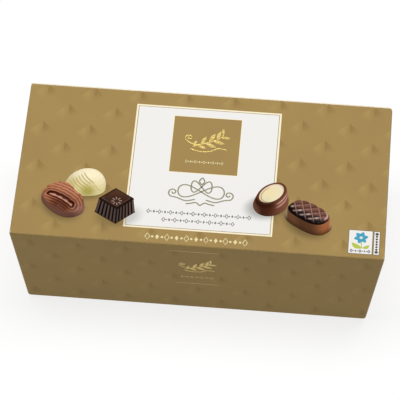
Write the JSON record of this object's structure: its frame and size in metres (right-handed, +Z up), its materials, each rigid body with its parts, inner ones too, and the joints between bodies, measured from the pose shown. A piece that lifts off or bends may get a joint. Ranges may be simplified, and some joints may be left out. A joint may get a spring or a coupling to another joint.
{
  "type": "closed ballotin box of pralines",
  "caption": "Shut ballotin box for chocolate pralines, folded from gold printed card, wider at the lid than at the base.",
  "frame": {"origin": "centre of the base, on the surface that the box stands on", "axes": "+X along the width of the box, -Y out of its front, +Z up through the lid"},
  "size_m": [0.1898, 0.0968, 0.064],
  "materials": {
    "gold_card": "satin, printed with a tone on tone pattern of facets",
    "card_core": "matte cut edge of the white board",
    "white_print": "satin white field printed on the lid",
    "dark_print": "matte dark ink",
    "gold_foil": "hot stamped foil, semi gloss",
    "praline_print": "satin colour print of chocolates"
  },
  "bodies": {
    "root": {"carton": "gold_card"}
  },
  "joints": []
}
